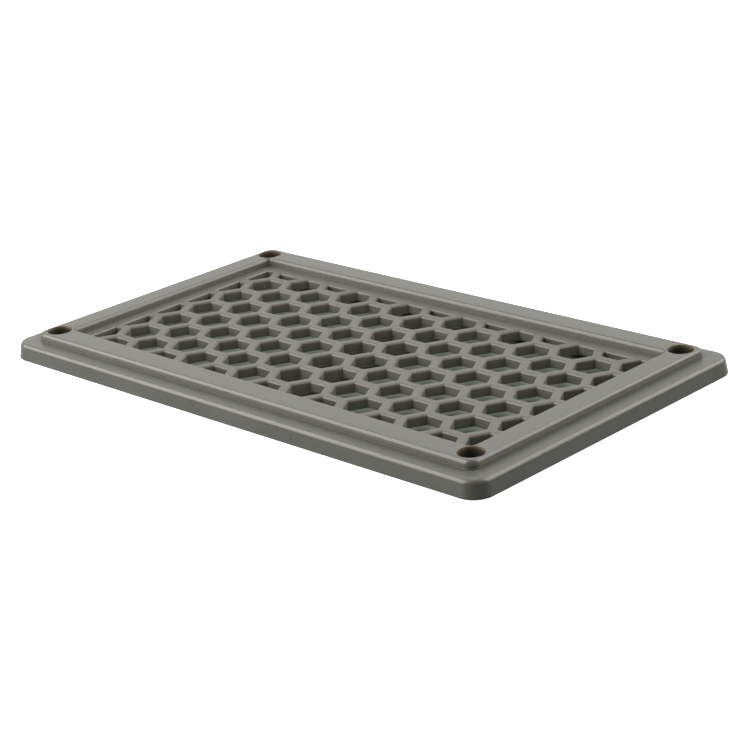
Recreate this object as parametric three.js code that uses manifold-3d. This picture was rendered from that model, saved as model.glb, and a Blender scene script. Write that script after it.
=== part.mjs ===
// Honeycomb queen excluder plate for a small beehive.
// Four moulded pieces are stacked: a flange with a sloping rim, a perforated honeycomb panel dropped
// into its pocket, a raised border on top of the panel, and a stiffener under the middle cells.
// Four bores pass through the whole stack, one at each corner.
// Units are millimetres. +X runs along the length, +Y across the width and +Z up.
// The origin is the middle of the underside, where the plate rests.

import * as THREE from 'three';
import { mergeVertices } from 'three/addons/utils/BufferGeometryUtils.js';
import Module from 'manifold-3d';

const wasm = await Module();
wasm.setup();

// Honeycomb: cells have flats parallel to X, and a worker bee fits through one, but a queen doesn't.
const CELL_PITCH = 5.5;
const CELL_WALL = 1.25;
const OUTER_COLUMN = 7;
const CELLS_EACH_WAY = 3;
const WINDOW = { x: 33.2, y: 15.87, corner: 0.3 };

// Half sizes and corner radii of the rounded outlines.
const FLANGE_FOOT = { x: 40.6, y: 23.5, corner: 2.6 };
const FLANGE_DRAFT = 0.25;
const BORDER_OUTER = { x: 37.9, y: 21.1, corner: 1.3 };
const BORDER_INNER = { x: 34.6, y: 17.5, corner: 0.6 };
const SEAT_INNER = { x: 33.9, y: 16.6, corner: 0.8 };

// Levels above the resting face.
const PANEL_UNDERSIDE = 0.9;
const LEDGE_LEVEL = 2.2;
const TOP_LEVEL = 3.3;

// Clearance between pieces that touch.
const GAP = 0.3;

// Corner bores.
const BORE_RADIUS = 1.6;
const BORE_AT = { x: 35.8, y: 18.85 };

// Stiffener walls are this much thicker on each side than the cell walls above them.
const STIFFENER_STEP = 0.2;

// Edge rounding.
const BORDER_ROUND = 0.4;
const LEDGE_ROUND = 0.45;
const ROUND_STEPS = 3;
const CORNER_STEPS = 8;
const BORE_STEPS = 32;

// A tool that cuts through runs this far past the face.
const OVERCUT = 1;

// Neighbouring columns of hexagons sit this far apart.
const columnPitch = CELL_PITCH * Math.sqrt(3) / 2;

// ---------------------------------------------------------------- outlines

function roundedRectangle({ x, y, corner }) {
  const outline = new THREE.Shape();
  outline.moveTo(x, y - corner);
  outline.absarc(x - corner, y - corner, corner, 0, Math.PI / 2, false);
  outline.absarc(corner - x, y - corner, corner, Math.PI / 2, Math.PI, false);
  outline.absarc(corner - x, corner - y, corner, Math.PI, Math.PI * 1.5, false);
  outline.absarc(x - corner, corner - y, corner, Math.PI * 1.5, Math.PI * 2, false);
  outline.closePath();
  return outline;
}

function grown(outline, amount) {
  return { x: outline.x + amount, y: outline.y + amount, corner: outline.corner + amount };
}

function circle(radius, x, y) {
  const outline = new THREE.Shape();
  outline.absarc(x, y, radius, 0, Math.PI * 2, false);
  return outline;
}

function hexagon(acrossFlats) {
  const cornerRadius = acrossFlats / Math.sqrt(3);
  const corners = [];
  for (let i = 0; i < 6; i += 1) {
    const angle = i * Math.PI / 3;
    corners.push(new THREE.Vector2(cornerRadius * Math.cos(angle), cornerRadius * Math.sin(angle)));
  }
  return new THREE.Shape(corners);
}

// ---------------------------------------------------------------- solids

function solidOf(geometry) {
  const bare = geometry.index ? geometry.toNonIndexed() : geometry.clone();
  bare.deleteAttribute('normal');
  bare.deleteAttribute('uv');
  const merged = mergeVertices(bare, 1e-4);
  return new wasm.Manifold(new wasm.Mesh({
    numProp: 3,
    vertProperties: Float32Array.from(merged.attributes.position.array),
    triVerts: Uint32Array.from(merged.index.array),
  }));
}

function geometryOf(solid) {
  const mesh = solid.getMesh();
  const geometry = new THREE.BufferGeometry();
  geometry.setAttribute('position', new THREE.BufferAttribute(mesh.vertProperties, mesh.numProp));
  geometry.setIndex(new THREE.BufferAttribute(mesh.triVerts, 1));
  geometry.computeVertexNormals();
  return geometry;
}

function joined(solids) {
  return solids.reduce((whole, solid) => whole.add(solid));
}

function prism(outline, bottom, top, curveSegments = CORNER_STEPS) {
  const geometry = new THREE.ExtrudeGeometry(outline, {
    depth: top - bottom,
    bevelEnabled: false,
    curveSegments,
  });
  geometry.translate(0, 0, bottom);
  return solidOf(geometry);
}

// A prism whose upper edges are rounded, and whose lower face is flat.
function roundedPrism(outline, bottom, top, round, curveSegments = CORNER_STEPS) {
  const geometry = new THREE.ExtrudeGeometry(outline, {
    depth: top - bottom,
    bevelEnabled: true,
    bevelSize: round,
    bevelThickness: round,
    bevelOffset: -round,
    bevelSegments: ROUND_STEPS,
    curveSegments,
  });
  geometry.translate(0, 0, bottom - round);
  return solidOf(geometry).subtract(blockBelow(bottom));
}

// A prism whose sides lean in by `draft` on their way up.
function draftedPrism(foot, bottom, top, draft) {
  const lean = new THREE.ExtrudeGeometry(roundedRectangle(foot), {
    depth: OVERCUT,
    bevelEnabled: true,
    bevelSize: draft,
    bevelThickness: top - bottom,
    bevelOffset: -draft,
    bevelSegments: 1,
    curveSegments: CORNER_STEPS,
  });
  lean.translate(0, 0, bottom - OVERCUT);
  return solidOf(lean).subtract(blockBelow(bottom));
}

function blockBelow(level) {
  const block = new THREE.BoxGeometry(FLANGE_FOOT.x * 4, FLANGE_FOOT.y * 4, CELL_PITCH * 4);
  block.translate(0, 0, level - CELL_PITCH * 2);
  return solidOf(block);
}

function cornerBores(bottom, top) {
  const bores = [];
  for (const sideX of [-1, 1]) {
    for (const sideY of [-1, 1]) {
      const outline = circle(BORE_RADIUS, sideX * BORE_AT.x, sideY * BORE_AT.y);
      bores.push(prism(outline, bottom, top, BORE_STEPS));
    }
  }
  return joined(bores);
}

// Every hexagon of the honeycomb in one column, 0 being the middle one; odd columns sit half a cell off.
function columnOfCells(column, acrossFlats, bottom, top) {
  const shift = column % 2 === 0 ? 0 : 0.5;
  const cell = prism(hexagon(acrossFlats), bottom, top);
  const cells = [];
  for (let row = -CELLS_EACH_WAY; row <= CELLS_EACH_WAY; row += 1) {
    cells.push(cell.translate([column * columnPitch, (row - shift) * CELL_PITCH, 0]));
  }
  return joined(cells);
}

// ---------------------------------------------------------------- pieces

// Outer ring with a sloping rim, a ledge, and a seat inside that carries the panel.
function baseFlange() {
  const slope = draftedPrism(FLANGE_FOOT, 0, LEDGE_LEVEL - LEDGE_ROUND, FLANGE_DRAFT);
  const ledgeOutline = roundedRectangle(grown(FLANGE_FOOT, -FLANGE_DRAFT));
  const ledge = roundedPrism(ledgeOutline, 0, LEDGE_LEVEL, LEDGE_ROUND);
  const pocket = prism(roundedRectangle(BORDER_OUTER), PANEL_UNDERSIDE - GAP, TOP_LEVEL);
  const opening = prism(roundedRectangle(SEAT_INNER), -OVERCUT, TOP_LEVEL);
  return slope.add(ledge).subtract(pocket).subtract(opening)
    .subtract(cornerBores(-OVERCUT, TOP_LEVEL));
}

// Flat panel, pierced by the honeycomb inside the window and by the corner bores.
function honeycombPanel() {
  const sheet = prism(roundedRectangle(grown(BORDER_OUTER, -GAP)), PANEL_UNDERSIDE, LEDGE_LEVEL);
  const window = prism(roundedRectangle(WINDOW), -OVERCUT, TOP_LEVEL);
  let panel = sheet.subtract(cornerBores(-OVERCUT, TOP_LEVEL));
  for (let column = -OUTER_COLUMN; column <= OUTER_COLUMN; column += 1) {
    const cells = columnOfCells(column, CELL_PITCH - CELL_WALL, 0, TOP_LEVEL);
    panel = panel.subtract(cells.intersect(window));
  }
  return panel;
}

// Raised border on the panel's rim, rounded along both upper edges and round each bore's mouth.
function raisedBorder() {
  const outline = roundedRectangle(BORDER_OUTER);
  outline.holes.push(roundedRectangle(BORDER_INNER));
  const ring = roundedPrism(outline, LEDGE_LEVEL + GAP, TOP_LEVEL, BORDER_ROUND);
  return ring.subtract(cornerBores(-OVERCUT, TOP_LEVEL + OVERCUT));
}

// Chain of hexagonal rings under the middle column, standing on the resting face.
function centreStiffener() {
  const top = PANEL_UNDERSIDE - GAP;
  const wall = CELL_WALL + 2 * STIFFENER_STEP;
  const reach = prism(roundedRectangle(grown(SEAT_INNER, -GAP)), 0, top);
  const rings = columnOfCells(0, CELL_PITCH + wall, 0, top)
    .subtract(columnOfCells(0, CELL_PITCH - wall, -OVERCUT, TOP_LEVEL));
  return rings.intersect(reach);
}

// ---------------------------------------------------------------- assembly

const satinGrey = { color: 0x8b8882, roughness: 0.42, metalness: 0.0 };

const pieces = [
  { name: 'base_flange', solid: baseFlange(), finish: satinGrey },
  { name: 'honeycomb_panel', solid: honeycombPanel(), finish: { ...satinGrey, roughness: 0.46 } },
  { name: 'raised_border', solid: raisedBorder(), finish: satinGrey },
  { name: 'centre_stiffener', solid: centreStiffener(), finish: { ...satinGrey, roughness: 0.5 } },
];

const queenExcluder = new THREE.Group();
for (const { name, solid, finish } of pieces) {
  const mesh = new THREE.Mesh(geometryOf(solid), new THREE.MeshStandardMaterial(finish));
  mesh.name = name;
  queenExcluder.add(mesh);
}

export default queenExcluder;
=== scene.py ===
"""Looks of a honeycomb queen excluder plate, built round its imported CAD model.

Every length is in metres. The plate rests on z = 0 with its middle at the origin, +X along its length.
Each CAD node is replaced by a moulded piece with the same outline, rounded edges and closed joints.
"""

import math

import bpy
from mathutils import Matrix, Vector
from mathutils.geometry import delaunay_2d_cdt


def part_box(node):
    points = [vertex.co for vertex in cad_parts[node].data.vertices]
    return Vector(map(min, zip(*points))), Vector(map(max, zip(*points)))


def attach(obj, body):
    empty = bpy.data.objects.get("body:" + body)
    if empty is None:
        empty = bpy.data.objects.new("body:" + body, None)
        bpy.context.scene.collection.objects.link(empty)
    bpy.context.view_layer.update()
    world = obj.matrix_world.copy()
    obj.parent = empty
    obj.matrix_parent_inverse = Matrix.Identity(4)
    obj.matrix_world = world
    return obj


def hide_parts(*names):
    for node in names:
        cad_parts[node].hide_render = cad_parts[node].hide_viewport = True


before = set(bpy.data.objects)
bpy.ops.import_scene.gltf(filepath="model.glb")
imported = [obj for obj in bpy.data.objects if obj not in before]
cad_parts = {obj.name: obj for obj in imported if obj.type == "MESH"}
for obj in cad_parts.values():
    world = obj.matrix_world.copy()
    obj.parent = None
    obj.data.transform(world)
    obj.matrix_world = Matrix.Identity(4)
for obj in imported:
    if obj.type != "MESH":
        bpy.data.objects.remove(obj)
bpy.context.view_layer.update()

MM = 0.001

# ---------------------------------------------------------------- sizes

# The frame gives each node's box. What lies inside the boxes repeats the CAD model's sizes, with
# finer rounding of the edges.
FLANGE_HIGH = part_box("base_flange")[1]
PANEL_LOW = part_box("honeycomb_panel")[0]
BORDER_LOW, BORDER_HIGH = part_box("raised_border")
STIFFENER_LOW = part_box("centre_stiffener")[0]

LEDGE_LEVEL = FLANGE_HIGH.z
PANEL_UNDERSIDE = PANEL_LOW.z
TOP_LEVEL = BORDER_HIGH.z

# Cells have flats parallel to X. The window is (half length, half width), and cuts the outer cells.
CELL_PITCH = 5.5 * MM
CELL_OPENING = 4.25 * MM
COLUMN_PITCH = CELL_PITCH * math.sqrt(3) / 2
OUTER_COLUMN = 7
ROWS_EACH_WAY = 3
CELL_CORNER = 0.12 * MM
CELL_ROUND = 0.3 * MM
WINDOW = (33.2 * MM, 15.87 * MM)

# A rounded rectangle is (half length, half width, corner radius).
FLANGE_FOOT = (FLANGE_HIGH.x, FLANGE_HIGH.y, 2.6 * MM)
FLANGE_DRAFT = 0.25 * MM
LEDGE_ROUND = 0.45 * MM
LEDGE_DROP = 0.7 * MM
FOOT_ROUND = 0.22 * MM
SEAT_INNER = (33.9 * MM, 16.6 * MM, 0.8 * MM)

BORDER_OUTER = (BORDER_HIGH.x, BORDER_HIGH.y, 1.3 * MM)
BORDER_INNER = (34.6 * MM, 17.5 * MM, 0.6 * MM)
BORDER_ROUND = 0.38 * MM
BORDER_DROP = 0.7 * MM

# The panel's rim has a lip that stands in a rebate round the border's foot. The border's outer wall
# starts a little above the lip, so a fine dark line runs round the wall.
LIP_CLEARANCE = 0.06 * MM
LIP_TOP = BORDER_LOW.z - LIP_CLEARANCE
LIP_WIDTH = 0.25 * MM
LIP_ROUND = 0.02 * MM

# The flange's pocket is this much larger than the border's outline, and the panel this much smaller.
# The rebate keeps the same distance from the lip.
SEAM = 0.02 * MM
SEAM_ROUND = 0.06 * MM

BORE_AT = (35.8 * MM, 18.85 * MM)
BORE_RADIUS = 1.6 * MM
BORE_ROUND = 0.06 * MM
# Each bore's painted warm glow fades out over this depth below the top.
GLOW_DEPTH = 0.5 * MM

STIFFENER_WALL = 1.65 * MM

# The border's foot and the stiffener's top sink this far into the panel, so that no light shows
# through the joint.
SINK = 0.01 * MM

# The flange's seat keeps this far from the panel that it carries and from the stiffener's ends.
SEAT_GAP = 0.01 * MM

# Steps in an outline's corner, and in a bore's whole turn.
CORNER_STEPS = 8
CELL_CORNER_STEPS = 4
BORE_STEPS = 48

# Steps in the rounding of an edge, seen in section.
EDGE_STEPS = 8
CELL_EDGE_STEPS = 6
FOOT_STEPS = 4
MOUTH_STEPS = 4
SEAM_STEPS = 3

# Corners of a clipped outline closer than this are one.
SAME_POINT = 1e-7

# Faces that meet at more than this angle keep a hard edge. Elsewhere the larger faces have this
# weight in the shading.
SHARP_ANGLE = math.radians(38)
LARGE_FACE_WEIGHT = 80

# delaunay_2d_cdt's setting for triangles inside the outlines only, and its tolerance in millimetres.
INSIDE_ONLY = 1
FLAT_TOLERANCE = 1e-6

# ---------------------------------------------------------------- outlines


def rounded_outline(corners, radius, steps):
    """A convex outline with each corner replaced by an arc of that radius, as (x, y) points."""
    points = []
    count = len(corners)
    for i, corner in enumerate(corners):
        back = (corners[i - 1] - corner).normalized()
        ahead = (corners[(i + 1) % count] - corner).normalized()
        half = back.angle(ahead) / 2
        centre = corner + (back + ahead).normalized() * (radius / math.sin(half))
        start = corner + back * (radius / math.tan(half)) - centre
        turn = math.pi - 2 * half
        for k in range(steps + 1):
            swing = Matrix.Rotation(turn * k / steps, 2)
            points.append(centre + swing @ start)
    return points


def grown(corners, amount):
    """The corners of a convex outline, counterclockwise, with each side moved out by amount."""
    moved = []
    count = len(corners)
    for i, corner in enumerate(corners):
        into = (corner - corners[i - 1]).normalized()
        out = (corners[(i + 1) % count] - corner).normalized()
        normal_in = Vector((into.y, -into.x))
        normal_out = Vector((out.y, -out.x))
        bisector = (normal_in + normal_out).normalized()
        moved.append(corner + bisector * (amount / bisector.dot(normal_in)))
    return moved


def rectangle(half_x, half_y):
    """The corners of a rectangle round the origin, counterclockwise."""
    signs = ((-1, -1), (1, -1), (1, 1), (-1, 1))
    return [Vector((x * half_x, y * half_y)) for x, y in signs]


def frame_outline(sizes, grow=0.0):
    """A rounded rectangle given as (half length, half width, corner radius), grown by that much."""
    half_x, half_y, radius = sizes
    return rounded_outline(rectangle(half_x + grow, half_y + grow), radius + grow, CORNER_STEPS)


def cell_outline(corners, grow=0.0):
    """A cell's outline with its corners slightly rounded, and its sides moved out by that much."""
    return rounded_outline(grown(corners, grow), CELL_CORNER, CELL_CORNER_STEPS)


def regular_polygon(x, y, reach, sides):
    """The corners of a regular polygon, counterclockwise, at that reach from its middle."""
    turn = 2 * math.pi / sides
    angles = [turn * k for k in range(sides)]
    return [Vector((x + reach * math.cos(a), y + reach * math.sin(a))) for a in angles]


def hexagon(x, y, across_flats):
    """A hexagon with two flats parallel to X."""
    return regular_polygon(x, y, across_flats / math.sqrt(3), 6)


def clipped(corners, limit_x, limit_y):
    """The part of a convex outline inside the rectangle, or [] if nothing worth having is left."""
    sides = ((1, 0, limit_x), (-1, 0, limit_x), (0, 1, limit_y), (0, -1, limit_y))
    for normal_x, normal_y, limit in sides:
        normal = Vector((normal_x, normal_y))
        kept = []
        for i, corner in enumerate(corners):
            last = corners[i - 1]
            depth = limit - corner.dot(normal)
            last_depth = limit - last.dot(normal)
            if (depth > 0) != (last_depth > 0):
                kept.append(last.lerp(corner, last_depth / (last_depth - depth)))
            if depth > 0:
                kept.append(corner)
        corners = [c for i, c in enumerate(kept) if (c - kept[i - 1]).length > SAME_POINT]
        if len(corners) < 3:
            return []
    return corners


# ---------------------------------------------------------------- mesh building


class Shell:
    """Collects points and faces of one piece."""

    def __init__(self):
        self.points = []
        self.faces = []
        self.finishes = []
        self.sheen = []

    def loop(self, outline, z, sheen=0.0):
        """Adds the outline's points at that height. The painted sheen is 1 along the crest of a rounded
        edge.
        """
        start = len(self.points)
        self.points += [Vector((p.x, p.y, z)) for p in outline]
        self.sheen += [sheen] * len(outline)
        return list(range(start, len(self.points)))

    def face(self, corners, finish=0):
        self.faces.append(tuple(corners))
        self.finishes.append(finish)

    def wall(self, loops, finish=0):
        """Joins each loop to the next. Going up a counterclockwise loop, the faces point out of it."""
        for lower, upper in zip(loops, loops[1:]):
            count = len(lower)
            for i in range(count):
                j = (i + 1) % count
                self.face((lower[i], lower[j], upper[j], upper[i]), finish)

    def cap(self, outer, holes, up):
        """Fills the flat region inside the outer loop and outside the holes."""
        rings = [outer] + holes
        keys = [k for ring in rings for k in ring]
        flat = [Vector((self.points[k].x / MM, self.points[k].y / MM)) for k in keys]
        outlines = []
        start = 0
        for ring in rings:
            outlines.append(list(range(start, start + len(ring))))
            start += len(ring)
        found = delaunay_2d_cdt(flat, [], outlines, INSIDE_ONLY, FLAT_TOLERANCE)
        _, _, triangles, origins, _, owners = found
        for triangle, owner in zip(triangles, owners):
            # A triangle in a hole belongs to the hole's outline as well as to the outer one.
            if list(owner) == [0]:
                corners = [keys[origins[v][0]] for v in triangle]
                self.face(corners if up else reversed(corners))

    def piece(self, name, slot, node, materials):
        """Makes the mesh object that stands for the CAD node, with those materials, and hides the node.
        The slot is not used.
        """
        mesh = bpy.data.meshes.new(name)
        mesh.from_pydata(self.points, [], self.faces)
        mesh.polygons.foreach_set("material_index", self.finishes)
        mesh.attributes.new("edge_sheen", "FLOAT", "POINT").data.foreach_set("value", self.sheen)
        mesh.validate()
        mesh.shade_smooth()
        mesh.set_sharp_from_angle(angle=SHARP_ANGLE)
        piece = bpy.data.objects.new(name, mesh)
        bpy.context.scene.collection.objects.link(piece)
        weighted = piece.modifiers.new("even_shading", "WEIGHTED_NORMAL")
        weighted.mode = "FACE_AREA"
        weighted.weight = LARGE_FACE_WEIGHT
        weighted.keep_sharp = True
        for material in materials:
            mesh.materials.append(material)
        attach(piece, "root")
        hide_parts(node)
        return piece


def arc(steps, start, end):
    """(cosine, sine, painted sheen) at even steps from start to end, in degrees; the sheen peaks at 45.
    """
    angles = [math.radians(start + (end - start) * k / steps) for k in range(steps + 1)]
    return [(math.cos(a), math.sin(a), abs(math.sin(2 * a))) for a in angles]


# ---------------------------------------------------------------- pieces


# The signs of x and y at the four corner bores.
SIDES = [(x, y) for x in (-1, 1) for y in (-1, 1)]


def bore_outline(side_x, side_y, grow=0.0):
    """The outline of one corner bore, with its radius grown by that much."""
    return regular_polygon(side_x * BORE_AT[0], side_y * BORE_AT[1], BORE_RADIUS + grow, BORE_STEPS)


def base_flange(materials):
    """Outer ring: sloping rim, ledge, and an inner seat that carries the panel."""
    shell = Shell()
    outer = []
    for c, s, sheen in arc(FOOT_STEPS, -90, 0):
        foot = frame_outline(FLANGE_FOOT, FOOT_ROUND * (c - 1))
        outer.append(shell.loop(foot, FOOT_ROUND * (s + 1), sheen))
    shoulder = LEDGE_LEVEL - LEDGE_DROP
    for c, s, sheen in arc(EDGE_STEPS, 0, 90):
        ledge = frame_outline(FLANGE_FOOT, -FLANGE_DRAFT + LEDGE_ROUND * (c - 1))
        outer.append(shell.loop(ledge, shoulder + LEDGE_DROP * s, sheen))
    shell.wall(outer)

    seat = PANEL_UNDERSIDE - SEAT_GAP
    pocket = []
    for c, s, _ in arc(SEAM_STEPS, 90, 0):
        mouth = frame_outline(BORDER_OUTER, SEAM + SEAM_ROUND * (1 - c))
        pocket.append(shell.loop(mouth, LEDGE_LEVEL - SEAM_ROUND * (1 - s)))
    pocket.append(shell.loop(frame_outline(BORDER_OUTER, SEAM), seat))
    shell.wall(pocket)
    shell.cap(outer[-1], [pocket[0]], True)

    inner = [shell.loop(frame_outline(SEAT_INNER), z) for z in (seat, 0)]
    shell.wall(inner)
    bores = [[shell.loop(bore_outline(x, y), z) for z in (seat, 0)] for x, y in SIDES]
    for bore in bores:
        shell.wall(bore, finish=1)
    shell.cap(pocket[-1], [inner[0]] + [bore[0] for bore in bores], True)
    shell.cap(outer[0], [inner[1]] + [bore[1] for bore in bores], False)
    return shell.piece("base_flange_moulded", "flange_plastic", "base_flange", materials)


def raised_border(materials):
    """Border standing on the panel's rim, with both upper edges and the bore mouths rounded."""
    shell = Shell()
    foot = LEDGE_LEVEL - SINK
    shoulder = TOP_LEVEL - BORDER_DROP
    rebate = -LIP_WIDTH - 2 * SEAM
    outer = [shell.loop(frame_outline(BORDER_OUTER, rebate), z) for z in (foot, BORDER_LOW.z)]
    for c, s, _ in arc(SEAM_STEPS, -90, 0):
        edge = frame_outline(BORDER_OUTER, LIP_ROUND * (c - 1))
        outer.append(shell.loop(edge, BORDER_LOW.z + LIP_ROUND * (s + 1)))
    for c, s, sheen in arc(EDGE_STEPS, 0, 90):
        edge = frame_outline(BORDER_OUTER, BORDER_ROUND * (c - 1))
        outer.append(shell.loop(edge, shoulder + BORDER_DROP * s, sheen))
    shell.wall(outer)
    inner = []
    for c, s, sheen in arc(EDGE_STEPS, 90, 0):
        edge = frame_outline(BORDER_INNER, BORDER_ROUND * (1 - c))
        inner.append(shell.loop(edge, shoulder + BORDER_DROP * s, sheen))
    inner.append(shell.loop(frame_outline(BORDER_INNER), foot))
    shell.wall(inner)
    bores = []
    for x, y in SIDES:
        mouth = []
        for c, s, sheen in arc(MOUTH_STEPS, 90, 0):
            rim = bore_outline(x, y, BORE_ROUND * (1 - c))
            # The bore wall just below the mouth takes the full painted warm glow.
            mouth.append(shell.loop(rim, TOP_LEVEL - BORE_ROUND * (1 - s), max(sheen, c)))
        shell.wall(mouth[:2])
        # The painted warm glow fades out by this loop, and the bore below it is painted dark as shade.
        glow_end = shell.loop(bore_outline(x, y), TOP_LEVEL - GLOW_DEPTH)
        end = shell.loop(bore_outline(x, y), foot)
        shell.wall(mouth[1:] + [glow_end, end], finish=1)
        bores.append((mouth[0], end))
    shell.cap(outer[-1], [inner[0]] + [bore[0] for bore in bores], True)
    shell.cap(outer[0], [inner[-1]] + [bore[1] for bore in bores], False)
    return shell.piece("raised_border_moulded", "border_plastic", "raised_border", materials)


def cell_outlines():
    """The corners of every opening inside the window, whole cells and cut ones alike."""
    cells = []
    for column in range(-OUTER_COLUMN, OUTER_COLUMN + 1):
        shift = 0.0 if column % 2 == 0 else 0.5
        for row in range(-ROWS_EACH_WAY - 1, ROWS_EACH_WAY + 2):
            corners = hexagon(column * COLUMN_PITCH, (row + shift) * CELL_PITCH, CELL_OPENING)
            corners = clipped(corners, *WINDOW)
            if corners:
                cells.append(corners)
    return cells


def honeycomb_panel(materials):
    """Panel whose cell walls are rounded along the top, with a lip and the border's bores in its rim."""
    shell = Shell()
    top = LEDGE_LEVEL
    under = PANEL_UNDERSIDE
    rim = [shell.loop(frame_outline(BORDER_OUTER, -SEAM), under)]
    for c, s, _ in arc(SEAM_STEPS, 0, 90):
        edge = frame_outline(BORDER_OUTER, -SEAM + LIP_ROUND * (c - 1))
        rim.append(shell.loop(edge, LIP_TOP - LIP_ROUND * (1 - s)))
    for z in (LIP_TOP, top):
        rim.append(shell.loop(frame_outline(BORDER_OUTER, -SEAM - LIP_WIDTH), z))
    shell.wall(rim)
    mouths = []
    exits = []
    for corners in cell_outlines():
        loops = []
        for c, s, sheen in arc(CELL_EDGE_STEPS, 90, 0):
            edge = cell_outline(corners, CELL_ROUND * (1 - c))
            loops.append(shell.loop(edge, top - CELL_ROUND * (1 - s), sheen))
        loops.append(shell.loop(cell_outline(corners), under))
        shell.wall(loops)
        mouths.append(loops[0])
        exits.append(loops[-1])
    for x, y in SIDES:
        loops = [shell.loop(bore_outline(x, y), z) for z in (top, under)]
        shell.wall(loops, finish=1)
        mouths.append(loops[0])
        exits.append(loops[-1])
    shell.cap(rim[-1], mouths, True)
    shell.cap(rim[0], exits, False)
    return shell.piece("honeycomb_panel_moulded", "panel_plastic", "honeycomb_panel", materials)


def centre_stiffener(materials):
    """Chain of hexagonal rings under the middle column, open at both ends where the seat cuts it."""
    slope = math.sqrt(3)
    end = SEAT_INNER[1] - SEAT_GAP
    last_row = ROWS_EACH_WAY * CELL_PITCH
    taper = (end - last_row) / slope

    # A ring's corners reach this far from the middle along X, outside and inside.
    crest = (CELL_PITCH + STIFFENER_WALL) / slope
    hollow = (CELL_PITCH - STIFFENER_WALL) / slope

    # Right half of the chain's outline from the lower end to the upper one, then its notch.
    side = [Vector((crest - taper, -end)), Vector((crest, -last_row))]
    for half_row in range(1 - 2 * ROWS_EACH_WAY, 2 * ROWS_EACH_WAY):
        reach = crest if half_row % 2 == 0 else crest - CELL_PITCH / 2 / slope
        side.append(Vector((reach, half_row * CELL_PITCH / 2)))
    side += [Vector((crest, last_row)), Vector((crest - taper, end))]
    notch = [
        Vector((hollow - taper, end)),
        Vector((hollow, last_row)),
        Vector((hollow / 2, last_row - hollow * slope / 2)),
    ]
    notch += [Vector((-p.x, p.y)) for p in reversed(notch)]
    outline = side + notch
    outline += [-p for p in outline]

    shell = Shell()
    levels = (STIFFENER_LOW.z, PANEL_UNDERSIDE + SINK)
    body = [shell.loop(outline, z) for z in levels]
    shell.wall(body)
    holes = []
    for row in range(1 - ROWS_EACH_WAY, ROWS_EACH_WAY):
        ring = cell_outline(hexagon(0, row * CELL_PITCH, hollow * slope))
        loops = [shell.loop(ring, z) for z in reversed(levels)]
        shell.wall(loops)
        holes.append(loops)
    shell.cap(body[1], [loops[0] for loops in holes], True)
    shell.cap(body[0], [loops[1] for loops in holes], False)
    return shell.piece("centre_stiffener_moulded", "stiffener_plastic", "centre_stiffener", materials)


# ---------------------------------------------------------------- materials

# Linear colours.
PLASTIC_GREY = (0.107, 0.107, 0.0995)
# The panel's grey is a touch paler and warmer than the rest, as painted warm light in the cells.
PANEL_WARM_LIT_GREY = (0.114, 0.1105, 0.101)
# The stiffener's grey is darker than the rest, as painted shade under the panel.
STIFFENER_SHADED_GREY = (0.0965, 0.0955, 0.0865)
# Inside the bores the plastic is painted dark as shade, with a painted warm glow at the top of each
# bore.
BORE_SHADE = (0.035, 0.03, 0.022)
BORE_GLOW = (0.19, 0.135, 0.085)

# An edge's painted sheen colour is the plastic's times the gain, and at the crest it has this weight.
SHEEN_GAIN = (1.2, 1.13, 1.05)
SHEEN_WEIGHT = 0.6
PLASTIC_IOR = 1.52

# A noise is (size of its features, detail, roughness).
CLOUDS = (14 * MM, 3, 0.55)
SPECKS = (0.9 * MM, 1, 0.5)
GRAIN = (0.13 * MM, 2, 0.6)
SWELL = (5 * MM, 1, 0.4)
GRAIN_DEPTH = 0.0015 * MM
SWELL_DEPTH = 0.006 * MM

# The colour goes up and down by the mottle, in which the clouds and the specks have these shares.
MOTTLE = 0.2
CLOUD_TONE = 0.8
SPECK_TONE = 0.2

# Clouds and specks change the roughness by these amounts, and the crest of an edge is made smoother by
# the last.
CLOUD_GLOSS = 0.16
SPECK_GLOSS = 0.04
SHEEN_POLISH = 0.05

# A Mix node repeats its socket names for each data type, so its colour sockets go by number.
MIX_FACTOR = 0
MIX_FIRST = 6
MIX_SECOND = 7
MIX_RESULT = 2


def add_node(material, kind, inputs, **settings):
    """Adds a shader node. An input is a value, or the socket that feeds it."""
    node = material.node_tree.nodes.new(kind)
    for name, value in settings.items():
        setattr(node, name, value)
    for name, value in inputs.items():
        if isinstance(value, bpy.types.NodeSocket):
            material.node_tree.links.new(value, node.inputs[name])
        else:
            node.inputs[name].default_value = value
    return node


def calculated(material, operation, *terms):
    """The socket that holds the result of a Math node on those terms, which are values or sockets."""
    return add_node(material, "ShaderNodeMath", dict(enumerate(terms)), operation=operation).outputs[0]


def mixed_colour(material, share, first, second):
    """The socket that holds a colour between the first and the second, by share."""
    inputs = {MIX_FACTOR: share, MIX_FIRST: first, MIX_SECOND: second}
    return add_node(material, "ShaderNodeMix", inputs, data_type="RGBA").outputs[MIX_RESULT]


def blend_of(material, parts):
    """The weighted sum of several sockets, given as (socket, weight)."""
    total = 0.0
    for socket, weight in parts:
        total = calculated(material, "MULTIPLY_ADD", socket, weight, total)
    return total


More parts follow.
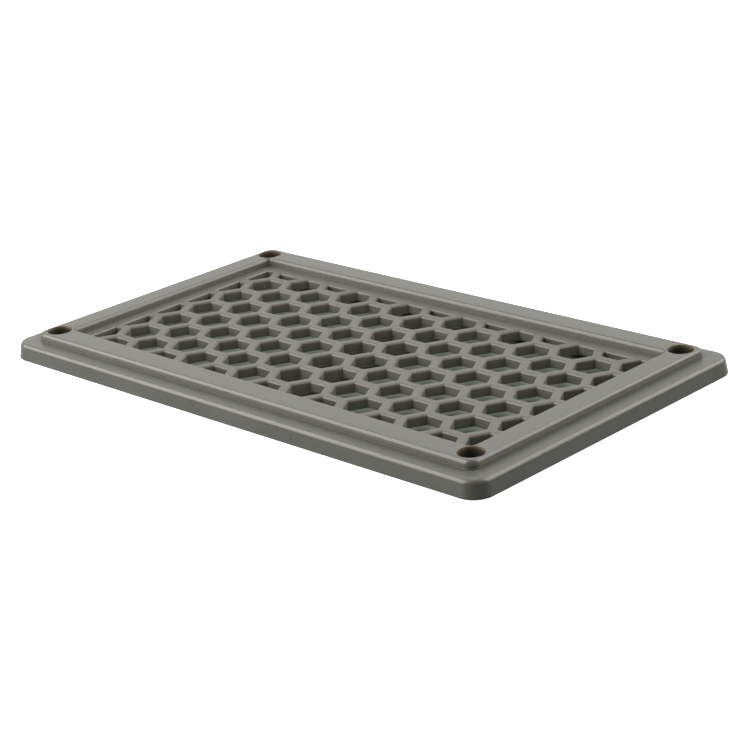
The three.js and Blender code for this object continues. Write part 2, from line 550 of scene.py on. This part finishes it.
def moulded_plastic(name, colour, sheen_colour, roughness, sheen_weight=SHEEN_WEIGHT):
    """Satin moulded plastic: faint mottling and grain, with edge crests made smoother and given a
    painted sheen colour.
    """
    material = bpy.data.materials.new(name)
    material.use_nodes = True
    links = material.node_tree.links
    shader = material.node_tree.nodes["Principled BSDF"]
    place = add_node(material, "ShaderNodeTexCoord", {}).outputs["Object"]

    def noise(size, detail, rough):
        inputs = {"Vector": place, "Scale": 1 / size, "Detail": detail, "Roughness": rough}
        return add_node(material, "ShaderNodeTexNoise", inputs).outputs["Fac"]

    clouds = noise(*CLOUDS)
    specks = noise(*SPECKS)
    sheen = add_node(material, "ShaderNodeAttribute", {}, attribute_name="edge_sheen").outputs["Fac"]

    tone = blend_of(material, [(clouds, CLOUD_TONE), (specks, SPECK_TONE)])
    ramp = add_node(material, "ShaderNodeValToRGB", {"Fac": tone})
    for element, gain in zip(ramp.color_ramp.elements, (1 - MOTTLE, 1 + MOTTLE)):
        element.color = (*[c * gain for c in colour], 1)
    # Where the mask is high the colour moves to the sheen colour, a painted highlight on rounded edges.
    sheen_share = calculated(material, "MULTIPLY", sheen, sheen_weight)
    paint = mixed_colour(material, sheen_share, ramp.outputs["Color"], (*sheen_colour, 1))
    links.new(paint, shader.inputs["Base Color"])

    # A noise averages about a half, so half of its span is taken off to keep the roughness asked for.
    gloss = blend_of(material, [(clouds, CLOUD_GLOSS), (specks, SPECK_GLOSS), (sheen, -SHEEN_POLISH)])
    half_span = (CLOUD_GLOSS + SPECK_GLOSS) / 2
    links.new(calculated(material, "ADD", gloss, roughness - half_span), shader.inputs["Roughness"])
    shader.inputs["IOR"].default_value = PLASTIC_IOR

    swell = add_node(material, "ShaderNodeBump", {"Height": noise(*SWELL), "Distance": SWELL_DEPTH})
    pits = {"Height": noise(*GRAIN), "Distance": GRAIN_DEPTH, "Normal": swell.outputs["Normal"]}
    surface = add_node(material, "ShaderNodeBump", pits)
    links.new(surface.outputs["Normal"], shader.inputs["Normal"])
    return material


def grey_plastic(name, colour, roughness):
    """The plate's plastic, with a painted sheen that makes the crests of rounded edges paler and warmer.
    """
    sheen_colour = [c * gain for c, gain in zip(colour, SHEEN_GAIN)]
    return moulded_plastic(name, colour, sheen_colour, roughness)


# ---------------------------------------------------------------- stage

# The floor lies just under the plate. A darker sheet inside the plate's outline is painted shade, and
# shows through the cells.
FLOOR_LEVEL = -0.04 * MM
FLOOR_HALF = 1.5
FLOOR_COLOUR = (0.9, 0.9, 0.9, 1)
FLOOR_GLOW = 1.0
SHADE_SHEET_LEVEL = -0.02 * MM
SHADE_SHEET_INSET = 1.0 * MM
SHADE_SHEET_COLOUR = (0.21, 0.235, 0.215, 1)
SHADE_SHEET_GLOW = 0.0
STAGE_ROUGHNESS = 0.9
STAGE_SPECULAR = 0.1

# Rays that start within this distance of the stage pass it, so that light reaches the underside.
CLEAR_WITHIN = 0.1 * MM

# The camera's distance and target are in cell pitches, because the honeycomb is what was sighted.
# The lens and the sensor are in millimetres.
CAMERA_AZIMUTH = math.radians(45.527)
CAMERA_ELEVATION = math.radians(20.598)
CAMERA_ROLL = math.radians(-4.386)
CAMERA_DISTANCE = 45.804 * CELL_PITCH
CAMERA_TARGET = Vector((1.571 * CELL_PITCH, -1.0455 * CELL_PITCH, LEDGE_LEVEL))
LENS = 100.459
SENSOR_WIDTH = 36
CLIP_START = 0.01

# Compass directions seen from above: the camera looks along AHEAD, with RIGHT to its right.
AHEAD = Vector((-math.sin(CAMERA_AZIMUTH), math.cos(CAMERA_AZIMUTH), 0))
RIGHT = Vector((math.cos(CAMERA_AZIMUTH), math.sin(CAMERA_AZIMUTH), 0))


def stage_plane(name, half_x, half_y, level, colour, glow):
    """A flat stage surface that is clear from below, and to rays that start just above it."""
    mesh = bpy.data.meshes.new(name)
    mesh.from_pydata([(p.x, p.y, level) for p in rectangle(half_x, half_y)], [], [(0, 1, 2, 3)])
    plane = bpy.data.objects.new(name, mesh)
    bpy.context.scene.collection.objects.link(plane)
    material = bpy.data.materials.new(name)
    material.use_nodes = True
    shader = material.node_tree.nodes["Principled BSDF"]
    shader.inputs["Base Color"].default_value = colour
    shader.inputs["Roughness"].default_value = STAGE_ROUGHNESS
    shader.inputs["Specular IOR Level"].default_value = STAGE_SPECULAR
    shader.inputs["Emission Color"].default_value = (1, 1, 1, 1)
    shader.inputs["Emission Strength"].default_value = glow
    underneath = add_node(material, "ShaderNodeNewGeometry", {}).outputs["Backfacing"]
    length = add_node(material, "ShaderNodeLightPath", {}).outputs["Ray Length"]
    near = calculated(material, "LESS_THAN", length, CLEAR_WITHIN)
    unseen = calculated(material, "MAXIMUM", underneath, near)
    clear = add_node(material, "ShaderNodeBsdfTransparent", {}).outputs[0]
    sided = add_node(material, "ShaderNodeMixShader", {0: unseen, 1: shader.outputs[0], 2: clear})
    output = material.node_tree.nodes["Material Output"]
    material.node_tree.links.new(sided.outputs[0], output.inputs["Surface"])
    mesh.materials.append(material)
    return plane


def floor():
    """White floor that only the camera sees, so its brightness leaves the plate's shading alone."""
    ground = stage_plane("floor", FLOOR_HALF, FLOOR_HALF, FLOOR_LEVEL, FLOOR_COLOUR, FLOOR_GLOW)
    ground.visible_diffuse = False
    ground.visible_glossy = False
    ground.visible_shadow = False


def shade_sheet():
    """Darker sheet, painted shade under the plate, that shows through the cells and darkens their walls
    near it.
    """
    half_x = FLANGE_FOOT[0] - SHADE_SHEET_INSET
    half_y = FLANGE_FOOT[1] - SHADE_SHEET_INSET
    stage_plane("floor_shade_sheet", half_x, half_y, SHADE_SHEET_LEVEL, SHADE_SHEET_COLOUR, SHADE_SHEET_GLOW)


def camera():
    """Camera that looks down on the front corner of the plate, with a slight roll."""
    back = -AHEAD * math.cos(CAMERA_ELEVATION) + Vector((0, 0, math.sin(CAMERA_ELEVATION)))
    up = back.cross(RIGHT)
    turn = Matrix((RIGHT, up, back)).transposed()
    turn = turn @ Matrix.Rotation(CAMERA_ROLL, 3, "Z")
    data = bpy.data.cameras.new("camera")
    data.sensor_width = SENSOR_WIDTH
    data.lens = LENS
    data.clip_start = CLIP_START
    eye = bpy.data.objects.new("camera", data)
    eye.matrix_world = Matrix.Translation(CAMERA_TARGET + back * CAMERA_DISTANCE) @ turn.to_4x4()
    bpy.context.scene.collection.objects.link(eye)
    bpy.context.scene.camera = eye


# A softbox covers this much of the view from the plate, to each side of its middle.
SOFTBOX_REACH = math.radians(28)
LIGHT_WARMTH = (1.0, 0.97, 0.93)
BACKDROP_TINT = (1.0, 0.975, 0.945, 1)
ROOM_TINT = (0.9, 1.0, 0.93, 1)


def softbox(name, side, swing, elevation, distance, radiance):
    """Square softbox that faces the plate from the left (-1) or right (1) of the camera's view.

    A positive swing, in degrees, brings it round towards the camera, and a negative one away.
    """
    width = 2 * distance * math.tan(SOFTBOX_REACH)
    data = bpy.data.lights.new(name, "AREA")
    data.shape = "SQUARE"
    data.size = width
    data.energy = radiance * math.pi * width * width
    data.color = LIGHT_WARMTH
    lamp = bpy.data.objects.new(name, data)
    swing = math.radians(swing)
    elevation = math.radians(elevation)
    level = RIGHT * side * math.cos(swing) - AHEAD * math.sin(swing)
    towards = level * math.cos(elevation) + Vector((0, 0, math.sin(elevation)))
    lamp.location = towards * distance
    lamp.visible_camera = False
    lamp.rotation_euler = towards.to_track_quat("Z", "Y").to_euler()
    bpy.context.scene.collection.objects.link(lamp)


def ambient(near, far, focus):
    """Pale backdrop beyond the plate, falling off to a dim room behind the camera.

    Near and far are the strengths behind the camera and beyond the plate, and a larger focus makes
    the backdrop narrower. The camera itself sees plain white.
    """
    world = bpy.data.worlds.new("studio")
    bpy.context.scene.world = world
    world.use_nodes = True
    nodes = world.node_tree.nodes
    towards = add_node(world, "ShaderNodeTexCoord", {}).outputs["Generated"]
    along = add_node(
        world, "ShaderNodeVectorMath", {0: towards, 1: AHEAD}, operation="DOT_PRODUCT"
    ).outputs["Value"]
    share = add_node(world, "ShaderNodeMapRange", {"Value": along, "From Min": -1.0}).outputs["Result"]
    peak = calculated(world, "POWER", share, focus)
    span = {"Value": peak, "To Min": near, "To Max": far}
    level = add_node(world, "ShaderNodeMapRange", span).outputs["Result"]
    tint = mixed_colour(world, peak, ROOM_TINT, BACKDROP_TINT)
    room = nodes["Background"]
    world.node_tree.links.new(tint, room.inputs["Color"])
    world.node_tree.links.new(level, room.inputs["Strength"])
    backdrop = add_node(world, "ShaderNodeBackground", {"Color": (1, 1, 1, 1), "Strength": 1.0})
    seen = add_node(world, "ShaderNodeLightPath", {}).outputs["Is Camera Ray"]
    sky = add_node(world, "ShaderNodeMixShader", {0: seen, 1: room.outputs[0], 2: backdrop.outputs[0]})
    world.node_tree.links.new(sky.outputs[0], nodes["World Output"].inputs["Surface"])


# ---------------------------------------------------------------- scene

camera()
floor()
shade_sheet()
softbox("softbox_left", -1, swing=10, elevation=31, distance=0.25, radiance=4.75)
softbox("softbox_right", 1, swing=-4, elevation=37, distance=0.4, radiance=3.85)
ambient(near=0.08, far=1.1, focus=2.8)
bpy.context.scene.view_settings.view_transform = "Standard"

# The bores' plastic is painted dark as shade, with a painted warm glow along the top.
bore_shaded_plastic = moulded_plastic("bore_shaded_plastic", BORE_SHADE, BORE_GLOW, roughness=0.6, sheen_weight=0.85)
base_flange([grey_plastic("flange_plastic", PLASTIC_GREY, roughness=0.3), bore_shaded_plastic])
# The panel's warmer grey is painted warm light.
honeycomb_panel([grey_plastic("panel_plastic", PANEL_WARM_LIT_GREY, roughness=0.4), bore_shaded_plastic])
raised_border([grey_plastic("border_plastic", PLASTIC_GREY, roughness=0.3), bore_shaded_plastic])
# The stiffener's darker grey is painted shade.
centre_stiffener([grey_plastic("stiffener_plastic", STIFFENER_SHADED_GREY, roughness=0.5)])
